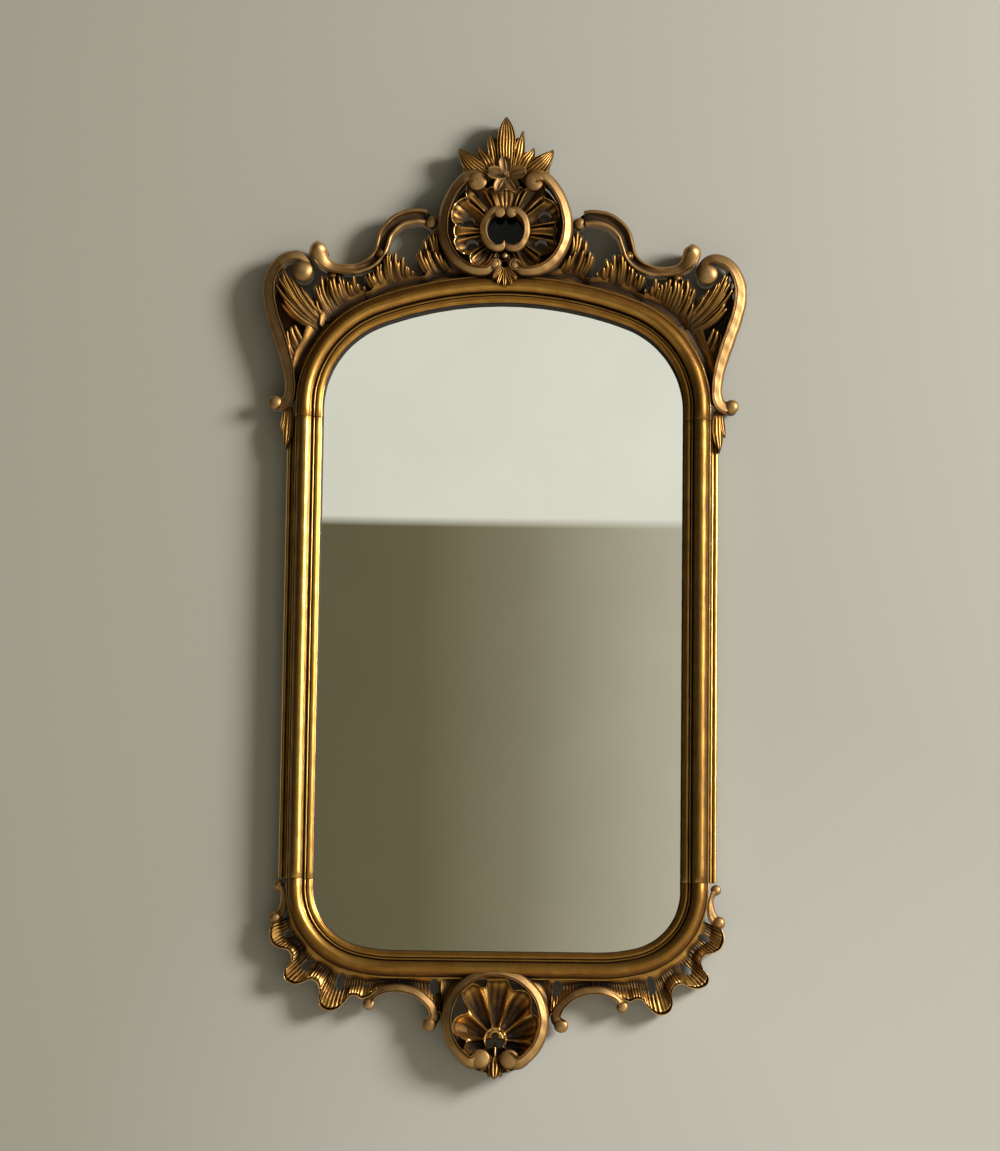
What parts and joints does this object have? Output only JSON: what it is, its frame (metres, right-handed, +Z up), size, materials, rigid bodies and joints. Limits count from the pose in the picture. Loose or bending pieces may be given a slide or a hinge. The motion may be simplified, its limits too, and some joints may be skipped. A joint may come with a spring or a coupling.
{
  "type": "pier mirror",
  "caption": "Tall arched wall mirror in a gilt moulded frame with carved pierced crest, round cartouche, scrolls, fringed apron and swinging hanger rings.",
  "frame": {"origin": "on the wall plane, midway between the pivots of the two hanging rings", "axes": "+Z up, +Y from the front of the mirror towards the wall, +X to the right seen from the front"},
  "size_m": [0.8068, 0.075, 1.603],
  "materials": {
    "gilt_moulding": "aged gilding over gesso, rubbed on the high lines",
    "gilt_carving": "aged gilding over gesso, dark in the hollows",
    "toned_wood": "wood toned with bronze colour",
    "bare_wood": "bare planed softwood",
    "backing_board": "thin brown board",
    "mirror_plate": "silvered plate glass",
    "dark_glass": "near-black glossy plate",
    "steel_fastener": "dull steel",
    "steel_strap": "zinc plated strip",
    "brass_ring": "dull brass plated wire",
    "felt": "dark felt"
  },
  "bodies": {
    "frame": {"head_rail": "gilt_moulding", "stile_left": "gilt_moulding", "stile_right": "gilt_moulding", "base_rail": "gilt_moulding", "outer_strip_left": "gilt_moulding", "outer_strip_right": "gilt_moulding", "carcass_head": "bare_wood", "carcass_stile_left": "bare_wood", "carcass_stile_right": "bare_wood", "carcass_base": "bare_wood", "lap_screws": "steel_fastener", "mirror_glass": "mirror_plate", "backing_board": "backing_board", "backing_brads": "steel_fastener", "crest_board": "toned_wood", "cartouche_scroll_left": "gilt_carving", "cartouche_scroll_right": "gilt_carving", "cartouche_shell": "gilt_carving", "cartouche_bezel": "gilt_carving", "cartouche_plate": "dark_glass", "cartouche_drop": "gilt_carving", "finial_leaf": "gilt_carving", "finial_side_left": "gilt_carving", "finial_side_right": "gilt_carving", "flower": "gilt_carving", "flower_button": "gilt_carving", "s_scroll_left": "gilt_carving", "s_scroll_right": "gilt_carving", "shoulder_scroll_left": "gilt_carving", "shoulder_scroll_right": "gilt_carving", "leaf_inner_left": "gilt_carving", "leaf_inner_right": "gilt_carving", "leaf_middle_left": "gilt_carving", "leaf_middle_right": "gilt_carving", "leaf_outer_left": "gilt_carving", "leaf_outer_right": "gilt_carving", "shoulder_spray_left": "gilt_carving", "shoulder_spray_right": "gilt_carving", "shoulder_drop_left": "gilt_carving", "shoulder_drop_right": "gilt_carving", "apron_board": "toned_wood", "apron_ring": "gilt_carving", "apron_shell": "gilt_carving", "apron_pendant": "gilt_carving", "fringe_left": "gilt_carving", "fringe_right": "gilt_carving", "apron_scroll_left": "gilt_carving", "apron_scroll_right": "gilt_carving", "side_scroll_left": "gilt_carving", "side_scroll_right": "gilt_carving", "batten_centre": "bare_wood", "battens_side": "bare_wood", "batten_screws": "steel_fastener", "hanger_strap_left": "steel_strap", "hanger_strap_right": "steel_strap", "hanger_screws": "steel_fastener", "wall_pads": "felt"},
    "ring_left": {"hanger_ring_left": "brass_ring"},
    "ring_right": {"hanger_ring_right": "brass_ring"}
  },
  "joints": [
    {"name": "ring_left_pivot", "type": "hinge", "parent": "frame", "child": "ring_left", "pos_m": [-0.32655, -0.00592, 0], "axis": [1, 0, 0], "range_deg": [0, 180]},
    {"name": "ring_right_pivot", "type": "hinge", "parent": "frame", "child": "ring_right", "pos_m": [0.32655, -0.00592, 0], "axis": [1, 0, 0], "range_deg": [0, 180]}
  ]
}
